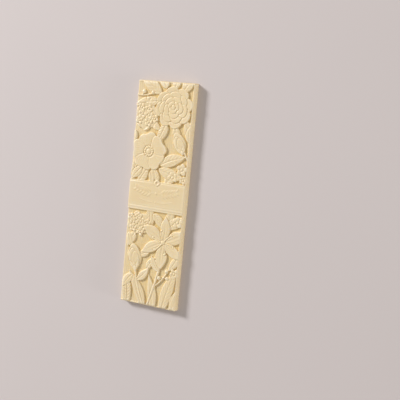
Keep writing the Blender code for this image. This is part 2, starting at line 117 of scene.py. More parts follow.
def blurred(heights: Grid, reach_mm: float, cell: float) -> Grid:
    """Softens a height map by a Gaussian, along its columns and then its rows.

    Args:
        heights: The map.
        reach_mm: The Gaussian's standard deviation in millimetres.
        cell: The map's step in millimetres.

    Returns:
        The softened map.
    """
    spread = reach_mm / cell
    half = int(3 * spread) + 1
    weights = np.exp(-0.5 * (np.arange(-half, half + 1) / spread) ** 2)
    weights /= weights.sum()
    rows, columns = heights.shape
    padded = np.pad(heights, half, mode="edge")
    down = sum(weight * padded[i : i + rows] for i, weight in enumerate(weights))
    return sum(weight * down[:, i : i + columns] for i, weight in enumerate(weights))


@dataclass(frozen=True)
class Spine:
    """A line from a foot that bends evenly as it goes."""

    x: float
    y: float
    heading: float
    length: float
    bend: float = 0.0

    @property
    def straight(self) -> bool:
        """Whether the bend is too small to matter."""
        return abs(self.bend) < LEAST_BEND

    def at(self, share: float) -> Triple:
        """Finds a point of the spine.

        Args:
            share: 0 at the foot, 1 at the tip.

        Returns:
            The point's x and y, and the spine's heading there.
        """
        here = self.heading + self.bend * share
        if self.straight:
            return (*reach(self.x, self.y, self.heading, self.length * share), here)
        radius = self.length / math.radians(self.bend)
        first, last = math.radians(self.heading), math.radians(here)
        across = radius * (math.sin(last) - math.sin(first))
        upward = radius * (math.cos(first) - math.cos(last))
        return self.x + across, self.y + upward, here

    def locate(self, x: Grid, y: Grid) -> tuple[Grid, Grid]:
        """Places points beside the spine.

        Args:
            x: Across the bar.
            y: Along the bar.

        Returns:
            The points' shares along the spine, and their distances to its left.
        """
        ahead, aside = turned(x - self.x, y - self.y, self.heading)
        if self.straight:
            return ahead / self.length, aside
        angle = math.radians(self.bend)
        radius = self.length / angle
        sign = math.copysign(1.0, radius)
        share = np.arctan2(ahead, sign * (radius - aside)) / abs(angle)
        return share, sign * (abs(radius) - np.hypot(ahead, aside - radius))


@dataclass(frozen=True)
class Relievo:
    """How high a plate stands and how its face and its edge are shaped, in millimetres."""

    level: float = 1.0
    rise: float = 0.0
    crown: float = 0.2
    roll: float = 0.12
    lip: float = 0.0
    cut: float = 0.12
    roll_reach: float = 0.7
    lip_reach: float = 0.45

    def edge(self, inside: Grid) -> Grid:
        """Shapes the strip inside an outline: a thin lip, then a roll down to the edge."""
        lip = self.lip * np.exp(-(((inside - self.lip_reach) / self.lip_reach) ** 2))
        return lip - self.roll * (1.0 - np.clip(inside / self.roll_reach, 0.0, 1.0)) ** 2


@dataclass(frozen=True)
class Plate:
    """One raised plate of the relief, laid over whatever is there."""

    relievo: Relievo = Relievo()

    def window(self) -> Triple:
        """Gives the middle and the radius of a circle that holds the plate."""
        raise NotImplementedError

    def surface(self, x: Grid, y: Grid, cell: float) -> tuple[Grid, Grid]:
        """Works out distances inside the outline and heights of the face, over a patch of the bar."""
        raise NotImplementedError


@dataclass(frozen=True)
class Worked:
    """Lines cut into a blade's face: how many, how deep in millimetres, and how they fade out."""

    ribs: int = 0
    rib: float = 0.0
    rib_end: float = 1.15
    rib_fade: float = 0.7
    least_half: float = 0.3
    midrib: float = 0.0
    midrib_reach: float = 0.4
    veins: int = 0
    vein: float = 0.0
    vein_slant: float = 0.22
    vein_root: float = 0.05
    vein_fade: float = 0.25
    vein_spread: float = 0.2

    def depth(self, share: Grid, aside: Grid, half: Grid, across: Grid) -> Grid:
        """Works out how deep the lines are.

        Args:
            share: Shares along the spine.
            aside: Distances beside the spine.
            half: The blade's half width there.
            across: Shares from the spine to the outline.

        Returns:
            Depths below the face.
        """
        depth = self.midrib * np.exp(-((aside / self.midrib_reach) ** 2)) * (1.0 - share**3)
        if self.ribs:
            wave = 0.5 - 0.5 * np.cos(2.0 * np.pi * self.ribs * aside / np.maximum(half, self.least_half))
            fade = np.sin(np.pi * np.clip(share * self.rib_end, 0.0, 1.0)) ** self.rib_fade
            depth += self.rib * wave * fade
        if self.veins:
            phase = (self.veins * (share - self.vein_slant * across)) % 1.0
            fade = (across > self.vein_root) * np.clip((1.0 - across) / self.vein_fade, 0.0, 1.0)
            depth += self.vein * np.exp(-(((phase - 0.5) / self.vein_spread) ** 2)) * fade
        return depth


@dataclass(frozen=True)
class Blade(Plate):
    """A leaf, petal or stem: a plate that follows a spine."""

    spine: Spine = Spine(0.0, 0.0, 0.0, 1.0)
    width: float = 1.0
    belly: float = 0.5
    foot: float = 1.0
    blunt: float = 1.0
    notch: float = 0.0
    notch_reach: float = 0.16
    worked: Worked = Worked()
    least_slope: float = 0.35
    least_half: float = 0.05

    def window(self) -> Triple:
        """Gives the middle and the radius of a circle that holds the blade."""
        spine = self.spine
        middle = reach(spine.x, spine.y, spine.heading + spine.bend / 2, spine.length / 2)
        return (*middle, spine.length / 2 + self.width / 2 + 1.0)

    def half_width(self, share: Grid) -> Grid:
        """Gives the blade's half width along its spine.

        Args:
            share: 0 at the foot, 1 at the tip.

        Returns:
            Half widths: widest at the belly, drawn in by foot and blunt.
        """
        share = np.clip(share, 1e-4, 1.0 - 1e-4)
        swell = np.sin(np.pi * share ** (math.log(0.5) / math.log(self.belly)))
        power = np.where(share < self.belly, self.foot, self.blunt)
        return 0.5 * self.width * swell**power

    def surface(self, x: Grid, y: Grid, cell: float) -> tuple[Grid, Grid]:
        """Works out the blade over a patch of the face.

        Args:
            x: Across the bar.
            y: Along the bar.
            cell: The patch's step.

        Returns:
            Distances inside the outline, and heights of the face.
        """
        share, aside = self.spine.locate(x, y)
        notched = share + self.notch * np.exp(-((aside / (self.notch_reach * self.width)) ** 2))
        half = self.half_width(notched)
        beyond = np.maximum(np.maximum(-notched, notched - 1.0), 0.0) * self.spine.length
        measure = np.where(beyond > 0.0, -beyond - np.abs(aside), half - np.abs(aside))
        inside = true_distance(measure, cell, self.least_slope)
        across = np.clip(np.abs(aside) / np.maximum(half, self.least_half), 0.0, 1.0)
        share = np.clip(share, 0.0, 1.0)
        shape = self.relievo
        face = shape.level + shape.rise * share + shape.crown * (1.0 - across**2)
        face = face - self.worked.depth(share, aside, half, across) + shape.edge(inside)
        return inside, face


@dataclass(frozen=True)
class Lobe(Plate):
    """A round or oval plate with a gently waved outline: a petal, a berry or a boss."""

    x: float = 0.0
    y: float = 0.0
    along: float = 1.0
    across: float = 1.0
    turn: float = 0.0
    wobble: float = 0.0
    waves: int = 3
    phase: float = 0.0
    tilt: float = 0.0
    least_slope: float = 0.3

    def window(self) -> Triple:
        """Gives the middle and the radius of a circle that holds the lobe."""
        return self.x, self.y, max(self.along, self.across) * (1.0 + self.wobble) + 1.0

    def surface(self, x: Grid, y: Grid, cell: float) -> tuple[Grid, Grid]:
        """Works out the lobe over a patch of the face.

        Args:
            x: Across the bar.
            y: Along the bar.
            cell: The patch's step.

        Returns:
            Distances inside the outline, and heights of the face.
        """
        size = max(self.along, self.across)
        ahead, aside = turned(x - self.x, y - self.y, self.turn)
        radius = np.hypot(ahead / self.along, aside / self.across)
        bearing = np.arctan2(aside / self.across, ahead / self.along)
        outline = 1.0 + self.wobble * np.cos(self.waves * bearing + self.phase)
        inside = true_distance(outline - radius, cell, self.least_slope / size)
        share = np.clip(radius / outline, 0.0, 1.0)
        shape = self.relievo
        face = shape.level + shape.crown * (1.0 - share**2) + self.tilt * ahead / size
        return inside, face + shape.edge(inside)


@dataclass(frozen=True)
class Motif:
    """A figure of the relief, placed by its root on the bar's face."""

    x: float
    y: float

    def plates(self) -> list[Plate]:
        """Gives the figure's plates, lowest first."""
        raise NotImplementedError

    def knob(self, shape: Relievo, along: float, across: float, turn: float = 0.0) -> list[Plate]:
        """Gives a plain lobe over the figure's own root."""
        return [Lobe(shape, self.x, self.y, along, across, turn)]

    def ring(self, count: int, turn: float, distance: float) -> list[Triple]:
        """Gives the heading and the place of each member of a ring about the figure's root."""
        headings = (turn + 360.0 * index / count for index in range(count))
        return [(heading, *reach(self.x, self.y, heading, distance)) for heading in headings]


@dataclass(frozen=True)
class Leaf(Motif):
    """A pointed leaf with a midrib."""

    heading: float
    length: float
    width: float
    bend: float = 0.0
    level: float = 0.8
    veins: int = 7
    face: LeafFace = LeafFace.VEINED

    def plates(self) -> list[Plate]:
        """Gives the leaf's one plate."""
        if self.face is LeafFace.VEINED:
            worked = Worked(midrib=0.26, veins=self.veins, vein=0.1)
        else:
            worked = Worked(midrib=0.26, ribs=2, rib=0.16)
        spine = Spine(self.x, self.y, self.heading, self.length, self.bend)
        shape = Relievo(level=self.level, crown=0.22, roll=0.14, lip=0.08)
        return [Blade(shape, spine, self.width, belly=0.42, foot=0.75, blunt=0.95, worked=worked)]


@dataclass(frozen=True)
class Stem(Motif):
    """A round stalk of even width."""

    heading: float
    length: float
    width: float
    bend: float = 0.0
    level: float = 0.75

    def plates(self) -> list[Plate]:
        """Gives the stem's one plate."""
        spine = Spine(self.x, self.y, self.heading, self.length, self.bend)
        shape = Relievo(level=self.level, crown=0.35, cut=0.1)
        return [Blade(shape, spine, self.width, foot=EVEN_WIDTH, blunt=EVEN_WIDTH)]


@dataclass(frozen=True)
class OpenFlower(Motif):
    """A wide flower of five notched petals round a boss ringed with beads."""

    size: float
    turn: float
    level: float
    petals: int = 5
    petal_foot: float = 0.06
    petal_length: float = 0.96
    petal_width: float = 1.12
    petal_step: float = 0.05
    eye: float = 0.3
    beads: int = 13
    bead: float = 0.052
    bead_ring: float = 0.235
    boss: float = 0.13

    def plates(self) -> list[Plate]:
        """Gives the petals, then the eye with its beads and its boss."""
        plates: list[Plate] = []
        worked = Worked(ribs=5, rib=0.09)
        length, width = self.size * self.petal_length, self.size * self.petal_width
        ring = self.ring(self.petals, self.turn, self.size * self.petal_foot)
        for index, (heading, x, y) in enumerate(ring):
            level = self.level - 0.2 + self.petal_step * index
            petal = Relievo(level=level, rise=0.22, crown=0.1, lip=0.08)
            spine = Spine(x, y, heading, length, bend=10.0)
            plates.append(
                Blade(petal, spine, width, belly=0.66, foot=0.62, blunt=0.36, notch=0.07, worked=worked)
            )
        return plates + self._middle()

    def _middle(self) -> list[Plate]:
        """Gives the eye, its ring of beads and the boss."""
        disc = Relievo(level=self.level, crown=0.1, cut=0.24)
        eye, bead, boss = (self.size * share for share in (self.eye, self.bead, self.boss))
        plates: list[Plate] = [Lobe(disc, self.x, self.y, eye, eye, wobble=0.05, waves=11)]
        ball = Relievo(level=self.level + 0.1, crown=0.25, roll=0.05)
        for _, x, y in self.ring(self.beads, 0.0, self.size * self.bead_ring):
            plates.append(Lobe(ball, x, y, bead, bead))
        return plates + self.knob(Relievo(level=self.level + 0.1, crown=0.3), boss, boss)


@dataclass(frozen=True)
class PetalRow:
    """One ring of a double flower, in shares of the flower's size."""

    count: int
    distance: float
    across: float
    along: float
    offset: float


@dataclass(frozen=True)
class DoubleFlower(Motif):
    """A full flower: rows of rounded petals, each row smaller and higher."""

    size: float
    turn: float
    level: float
    rows: tuple[PetalRow, ...] = (
        PetalRow(8, 0.66, 0.36, 0.34, 0.0),
        PetalRow(7, 0.47, 0.31, 0.28, 22.0),
        PetalRow(5, 0.29, 0.26, 0.22, 50.0),
        PetalRow(3, 0.13, 0.2, 0.16, 10.0),
    )
    row_step: float = 0.09
    heart: tuple[float, float] = (0.1, 0.12)

    def plates(self) -> list[Plate]:
        """Gives the rows of petals from the outside in, then the heart."""
        plates: list[Plate] = []
        for step, row in enumerate(self.rows):
            level = self.level + self.row_step * step
            shape = Relievo(level=level, crown=0.05, lip=0.06, cut=0.16)
            long, wide = self.size * row.along, self.size * row.across
            ring = self.ring(row.count, self.turn + row.offset, self.size * row.distance)
            for index, (heading, x, y) in enumerate(ring):
                phase = 1.3 * index + step
                plates.append(Lobe(shape, x, y, long, wide, heading, wobble=0.045, phase=phase, tilt=0.2))
        shape = Relievo(level=self.level + self.row_step * len(self.rows), crown=0.2, cut=0.2)
        long, wide = (self.size * share for share in self.heart)
        return plates + self.knob(shape, long, wide, self.turn)


@dataclass(frozen=True)
class StarFlower(Motif):
    """A lily: three wide and three slim pointed petals, with six stamens."""

    size: float
    turn: float
    level: float
    petal_widths: tuple[float, float] = (0.5, 0.42)
    foot_share: float = 0.05
    thread_length: float = 0.42
    thread_width: float = 0.75
    head_ring: float = 0.46
    head_size: tuple[float, float] = (0.75, 1.35)
    middle: float = 0.085

    def petals(self) -> list[Plate]:
        """Gives the wide petals and then the slim ones over them."""
        plates: list[Plate] = []
        worked = Worked(ribs=3, rib=0.09, midrib=0.22)
        for step, width in enumerate(self.petal_widths):
            level = self.level - 0.15 + 0.12 * step
            shape = Relievo(level=level, rise=0.22, crown=0.15, roll=0.14, lip=0.08, cut=0.18)
            for heading, x, y in self.ring(3, self.turn + 60.0 * step, self.size * self.foot_share):
                spine = Spine(x, y, heading, self.size * (1.0 - 0.03 * step), bend=14.0)
                plates.append(Blade(shape, spine, self.size * width, foot=0.6, blunt=0.85, worked=worked))
        return plates

    def stamens(self) -> list[Plate]:
        """Gives six curved threads, each with its oval head."""
        plates: list[Plate] = []
        thread = Relievo(level=self.level + 0.08, crown=0.3, roll=0.05)
        head = Relievo(level=self.level + 0.15, crown=0.3)
        for heading, x, y in self.ring(6, self.turn + 30.0, self.size * self.foot_share):
            spine = Spine(x, y, heading, self.size * self.thread_length, bend=-16.0)
            plates.append(Blade(thread, spine, self.thread_width, foot=EVEN_WIDTH, blunt=EVEN_WIDTH))
            spot = reach(self.x, self.y, heading - 8.0, self.size * self.head_ring)
            plates.append(Lobe(head, *spot, *self.head_size, turn=heading + 25.0))
        return plates

    def plates(self) -> list[Plate]:
        """Gives the petals, the stamens and the knob between them."""
        size = self.size * self.middle
        middle = self.knob(Relievo(level=self.level + 0.15, crown=0.3), size, size)
        return self.petals() + self.stamens() + middle


@dataclass(frozen=True)
class Blossom(Motif):
    """A small flower of round petals about a button."""

    size: float
    turn: float
    level: float = 1.0
    petals: int = 5
    petal_ring: float = 0.55
    petal: tuple[float, float] = (0.48, 0.42)
    button: float = 0.24

    def plates(self) -> list[Plate]:
        """Gives the petals and then the button."""
        plates: list[Plate] = []
        long, wide = (self.size * share for share in self.petal)
        shape = Relievo(level=self.level - 0.05, crown=0.06, cut=0.1)
        for heading, x, y in self.ring(self.petals, self.turn, self.size * self.petal_ring):
            plates.append(Lobe(shape, x, y, long, wide, heading, tilt=0.1))
        shape = Relievo(level=self.level - 0.05, crown=0.25, roll=0.05, cut=0.16)
        return plates + self.knob(shape, self.size * self.button, self.size * self.button)


@dataclass(frozen=True)
class FlowerHead(Motif):
    """A rounded head of small blossoms over a low bed, laid in a sunflower spiral."""

    along: float
    across: float
    count: int
    size: float
    level: float
    turn: float = 0.0
    bed_drop: float = 0.32
    bed_share: float = 1.12
    golden_angle: float = 137.508
    inmost: float = 1.1
    shrink: float = 0.2

    def plates(self) -> list[Plate]:
        """Gives the bed, then the blossoms from the edge inward, the inner ones larger."""
        bed = Relievo(level=self.level - self.bed_drop, crown=0.12)
        along, across = self.along * self.bed_share, self.across * self.bed_share
        plates: list[Plate] = [Lobe(bed, self.x, self.y, along, across, wobble=0.09, waves=7)]
        for index in reversed(range(self.count)):
            share = math.sqrt((index + 0.5) / self.count)
            angle = index * self.golden_angle + self.turn
            x = self.x + self.along * share * math.cos(math.radians(angle))
            y = self.y + self.across * share * math.sin(math.radians(angle))
            scale = self.inmost - self.shrink * share
            petals = 5 if int(angle) % 3 else 4
            plates += Blossom(x, y, self.size * scale, angle, self.level, petals).plates()
        return plates


@dataclass(frozen=True)
class Berry(Motif):
    """A round berry with a small pit where its flower was."""

    size: float
    level: float = 0.8
    pit_size: float = 0.2
    pit_place: tuple[float, float] = (0.2, -0.25)

    def plates(self) -> list[Plate]:
        """Gives the berry and its pit."""
        ball = Relievo(level=self.level - 0.08, crown=0.38)
        pit = Relievo(level=self.level + 0.12, crown=-0.1, roll=0.0, cut=0.0)
        x = self.x + self.size * self.pit_place[0]
        y = self.y + self.size * self.pit_place[1]
        small = self.size * self.pit_size
        return self.knob(ball, self.size, self.size) + [Lobe(pit, x, y, small, small)]


@dataclass(frozen=True)
class Stalk:
    """Where a berry hangs on a twig, and how long its stalk is."""

    share: float
    side: Side
    length: float


@dataclass(frozen=True)
class BerryTwig(Motif):
    """A thin twig with three berries on short stalks."""

    heading: float
    length: float
    bend: float
    stalks: tuple[Stalk, ...]
    berry: float = 1.9
    twig_width: float = 1.1
    twig_level: float = 0.7
    stalk_width: float = 0.8
    stalk_level: float = 0.68
    stalk_angle: float = 65.0
    shrink: float = 0.15

    def plates(self) -> list[Plate]:
        """Gives the twig, then each stalk with its berry, smaller toward the tip."""
        line = self.x, self.y, self.heading, self.length
        plates = Stem(*line, self.twig_width, self.bend, self.twig_level).plates()
        twig = Spine(self.x, self.y, self.heading, self.length, self.bend)
        for stalk in self.stalks:
            x, y, here = twig.at(stalk.share)
            out = here + self.stalk_angle * stalk.side.value
            line = x, y, out, stalk.length
            plates += Stem(*line, self.stalk_width, level=self.stalk_level).plates()
            size = self.berry * (1.0 - self.shrink * stalk.share)
            plates += Berry(*reach(x, y, out, stalk.length), size).plates()
        return plates


@dataclass(frozen=True)
class Frond(Motif):
    """A fern frond: pairs of small leaflets that shrink toward its tip."""

    heading: float
    length: float
    width: float
    bend: float
    pairs: int
    level: float = 0.65
    leaflet_angle: float = 52.0
    leaflet_bend: float = -25.0
    leaflet_share: float = 0.56
    stem_width: float = 0.95

    def plates(self) -> list[Plate]:
        """Gives the leaflets and then the stem over them."""
        plates: list[Plate] = []
        spine = Spine(self.x, self.y, self.heading, self.length, self.bend)
        shape = Relievo(level=self.level, crown=0.22, cut=0.1)
        worked = Worked(midrib=0.16)
        for index in range(self.pairs):
            share = (index + 0.6) / (self.pairs + 0.2)
            x, y, here = spine.at(share)
            size = self.width * math.sin(math.pi * (0.18 + 0.8 * share)) ** 0.8
            for side in Side:
                heading = here + self.leaflet_angle * side.value
                bend = self.leaflet_bend * side.value
                leaflet = Spine(x, y, heading, size * self.leaflet_share, bend)
                width = size * 0.2 + 0.6
                plates.append(
                    Blade(shape, leaflet, width, belly=0.45, foot=0.6, blunt=0.8, worked=worked)
                )
        line = self.x, self.y, self.heading, self.length
        return plates + Stem(*line, self.stem_width, self.bend, self.level + 0.12).plates()


@dataclass(frozen=True)
class WrappedPetal:
    """One petal of a bud, in shares of the bud's size."""

    offset: float
    long: float
    wide: float
    bend: float
    lift: float


@dataclass(frozen=True)
class Bud(Motif):
    """A half-open bud: wrapped petals, each laid over the last, in a cup of three sepals."""

    heading: float
    size: float
    level: float = 0.97
    petals: tuple[WrappedPetal, ...] = (
        WrappedPetal(24.0, 0.86, 0.42, -34.0, -0.12),
        WrappedPetal(-24.0, 0.86, 0.42, 34.0, -0.06),
        WrappedPetal(-3.0, 1.0, 0.56, 6.0, 0.06),
        WrappedPetal(13.0, 0.82, 0.4, -22.0, 0.18),
        WrappedPetal(-15.0, 0.7, 0.34, 20.0, 0.3),
    )
    sepals: tuple[float, ...] = (-46.0, 0.0, 46.0)
    sepal: tuple[float, float] = (0.34, 0.15)
    joint: tuple[float, float] = (0.1, 0.085)

    def plates(self) -> list[Plate]:
        """Gives the petals, the sepals and the knob where the stem joins."""
        plates: list[Plate] = []
        for petal in self.petals:
            level = self.level - 0.1 + petal.lift
            shape = Relievo(level=level, rise=0.08, crown=0.12, lip=0.07, cut=0.2)
            heading = self.heading + petal.offset
            spine = Spine(self.x, self.y, heading, self.size * petal.long, petal.bend)
            plates.append(Blade(shape, spine, self.size * petal.wide, belly=0.54, foot=0.5, blunt=0.62))
        cup = Relievo(level=self.level + 0.15, cut=0.16)
        worked = Worked(midrib=0.12)
        long, wide = (self.size * share for share in self.sepal)
        for offset in self.sepals:
            spine = Spine(self.x, self.y, self.heading + offset, long, bend=-0.6 * offset)
            plates.append(Blade(cup, spine, wide, belly=0.4, foot=0.5, blunt=0.9, worked=worked))
        long, wide = (self.size * share for share in self.joint)
        return plates + self.knob(Relievo(level=self.level + 0.2, crown=0.2), long, wide, self.heading)


@dataclass(frozen=True)
class Sprig(Motif):
    """A laurel sprig laid very low on the plain field, running to one side."""

    side: Side
    field_height: float
    length: float = 17.0
    bend: float = 22.0
    leaves: int = 6
    leaf_length: float = 5.4
    leaf_width: float = 2.1
    leaf_angle: float = 42.0
    shrink: float = 0.35
    thread_width: float = 0.55

    def plates(self) -> list[Plate]:
        """Gives the thread and its pairs of small leaves, which get shorter toward its tip."""
        across = -self.side.value
        spine = Spine(self.x, self.y, 90.0 - 90.0 * across, self.length, self.bend * across)
        thread = Relievo(level=self.field_height + 0.1, crown=0.08, roll=0.03, cut=0.0)
        plates: list[Plate] = [
            Blade(thread, spine, self.thread_width, foot=EVEN_WIDTH, blunt=EVEN_WIDTH)
        ]
        leaf = Relievo(level=self.field_height + 0.12, crown=0.14, roll=0.08, cut=0.0)
        worked = Worked(midrib=0.08)
        for index in range(self.leaves):
            x, y, here = spine.at((index + 0.7) / (self.leaves + 0.4))
            long = self.leaf_length - self.shrink * index
            for side in Side:
                leaflet = Spine(x, y, here + self.leaf_angle * side.value, long)
                plates.append(
                    Blade(leaf, leaflet, self.leaf_width, foot=0.7, blunt=0.8, worked=worked)
                )
        return plates


@dataclass(frozen=True)
class Lozenge(Motif):
    """A small four-sided boss with soft corners, and a pit of its own shape in the middle."""

    size: float
    level: float
    crown: float = 0.1
    cut: float = 0.0
    pit: float = 0.0
    pit_share: float = 0.42
    squareness: float = 0.09

    def plates(self) -> list[Plate]:
        """Gives the boss, and then the pit where it has one."""
        plates = [self._lobe(Relievo(level=self.level, crown=self.crown, cut=self.cut), self.size)]
        if self.pit:
            floor = Relievo(level=self.level - self.pit, crown=0.0, roll=0.0, cut=0.0)
            plates.append(self._lobe(floor, self.size * self.pit_share))
        return plates

    def _lobe(self, shape: Relievo, size: float) -> Plate:
        """Makes one plate of the lozenge's outline."""
        return Lobe(shape, self.x, self.y, size, size, wobble=self.squareness, waves=4)


@dataclass(frozen=True)
class Gardens:
    """The two flower panels, each figure placed in millimetres from the bar's middle."""

    upper: tuple[Motif, ...] = (
        Leaf(-17, 9, 64, 16, 8.5, -14, 0.64),
        Leaf(-2, 9, 98, 15, 8.5, 14, 0.64),
        Leaf(7, 9, 62, 15, 8, -12, 0.64, face=LeafFace.RIDGED),
        Frond(-24, 11, 70, 30, 12, 6, 11),
        Leaf(-3, 80, 150, 27, 10, -22, 0.72),
        Leaf(-4, 74, 182, 24, 8.5, 20),
        Leaf(15, 82, 58, 17, 8.5, -14, 0.72),
        Leaf(1, 84, 112, 14, 7.5, 12),
        Leaf(8, 84, 74, 13, 7, 10, 0.7),
        Leaf(20, 60, -62, 20, 8.5, -18, 0.72, face=LeafFace.RIDGED),
        Leaf(3, 58, 258, 19, 8, -26),
        Leaf(11, 56, 282, 14, 6.5, 24, 0.72, face=LeafFace.RIDGED),
        Leaf(-19, 52, 108, 12, 6, 20, 0.7),
        Leaf(-16, 50, 70, 14, 6.5, -16),
        Leaf(-24, 50, 262, 12, 6, 14, 0.7, face=LeafFace.RIDGED),
        Leaf(1, 24, 30, 24, 9.5, -18),
        Leaf(0, 21, -20, 25, 9, 14),
        Leaf(-15, 21, 222, 14, 7, 16),
        Leaf(-7, 19, 290, 12, 6, -20, face=LeafFace.RIDGED),
        Leaf(-2, 52, 150, 13, 6, -20, 0.72),
        Leaf(24, 44, 96, 13, 6, -14, 0.72),
        Stem(25, 30, 128, 12, 1.5, -20),
        BerryTwig(
            -25.5, 78, -8, 15, 30,
            (Stalk(0.35, Side.LEFT, 3.2), Stalk(0.62, Side.RIGHT, 3.4), Stalk(0.98, Side.LEFT, 0.6)),
        ),
        DoubleFlower(8.5, 70, 16.5, 12, 0.88),
        FlowerHead(-15.0, 61.5, 8.8, 8.6, 7, 3.6, 0.95, 20),
        Bud(19.5, 35.5, 116, 17, 0.95),
        OpenFlower(-10, 34, 14.6, 100, 1.02),
        Blossom(20.5, 22.5, 4.8, 10, 1.1),
        Blossom(13, 15.6, 4.3, 40, 1.05),
        Blossom(22.2, 14.4, 3.4, 70),
    )
    lower: tuple[Motif, ...] = (
        Leaf(-5, -11, 282, 17, 8.5, -14, 0.64),
        Leaf(15, -11, 258, 16, 8.5, 12, 0.64, face=LeafFace.RIDGED),
        Frond(-20, -93, 86, 25, 12.5, 16, 10, 0.75),
        Leaf(26, -16, 205, 20, 8.5, 20, 0.7),
        Leaf(-1, -15, -38, 17, 7, -18, 0.7),
        Leaf(-2, -33, 118, 15, 7, -22, 0.72),
        Leaf(-16, -32, 232, 14, 7, 22, 0.75),
        Leaf(-22, -33, 282, 13, 6, 14, 0.68, face=LeafFace.RIDGED),
        Leaf(13, -93, 80, 40, 10, -14, 0.78, 10),
        Leaf(22, -92, 78, 24, 8.5, -10, 0.84, face=LeafFace.RIDGED),
        Leaf(-3, -92, 110, 33, 9, 18, 0.8, 9, LeafFace.RIDGED),
        Leaf(5, -93, 92, 30, 8, 18, 0.86, 8, LeafFace.RIDGED),
        Leaf(-2, -46, 196, 12, 6, 20, 0.75),
        Leaf(-3, -60, 68, 13, 5.5, -26, 0.8),
        Leaf(24, -46, 250, 15, 6.5, -24, 0.75),
        Stem(-13.5, -61, 282, 33, 1.8, 16, 0.85),
        Stem(9, -52, 262, 42, 2.0, -12, 0.85),
        Leaf(-15, -66, 222, 15, 7, 24),
        Leaf(-11, -70, 36, 15, 6.5, 26, 0.85),
        Leaf(8.5, -60, 140, 14, 6.5, -30, 0.85),
        BerryTwig(
            6, -72, 40, 16, 24,
            (Stalk(0.35, Side.LEFT, 3.0), Stalk(0.66, Side.RIGHT, 3.2), Stalk(0.98, Side.LEFT, 0.6)),
        ),
        FlowerHead(-13.8, -23.8, 9.6, 7.8, 8, 3.5, 0.95, 40),
        StarFlower(10, -36.5, 20.5, 22, 0.98),
        Bud(-13.5, -61, 100, 20),
        Blossom(21, -19, 4.4, 20),
        Blossom(22.0, -60, 4.0, 50),
    )


@dataclass(frozen=True)
class PlainField:
    """The plain field across the middle, with its ledges and scribed lines."""

    ledge_top: float = 10.9
    top: float = 9.7
    foot: float = -9.6
    strip_foot: float = -11.6
    ledge_foot: float = -13.2
    height: float = 1.5
    ledge_height: float = 1.32
    line_depth: float = 0.16
    line_reach: float = 0.3

    def figures(self) -> list[Motif]:
        """Gives the laurel, the two threads under it, and the lozenges between and over them."""
        return [
            Sprig(2.5, 1.4, Side.RIGHT, self.height),
            Sprig(-2.5, 1.4, Side.LEFT, self.height),
            Lozenge(0.0, 1.4, 1.3, self.height + 0.12, crown=0.16),
            Sprig(2.0, -5.8, Side.RIGHT, self.height, length=13.0, bend=17.0, leaves=0),
            Sprig(-2.0, -5.8, Side.LEFT, self.height, length=13.0, bend=17.0, leaves=0),
            Lozenge(0.0, -5.8, 0.9, self.height + 0.1, crown=0.12),
            Lozenge(0.0, self.top, 2.6, self.height + 0.22, crown=0.05, cut=0.2, pit=0.45),
        ]


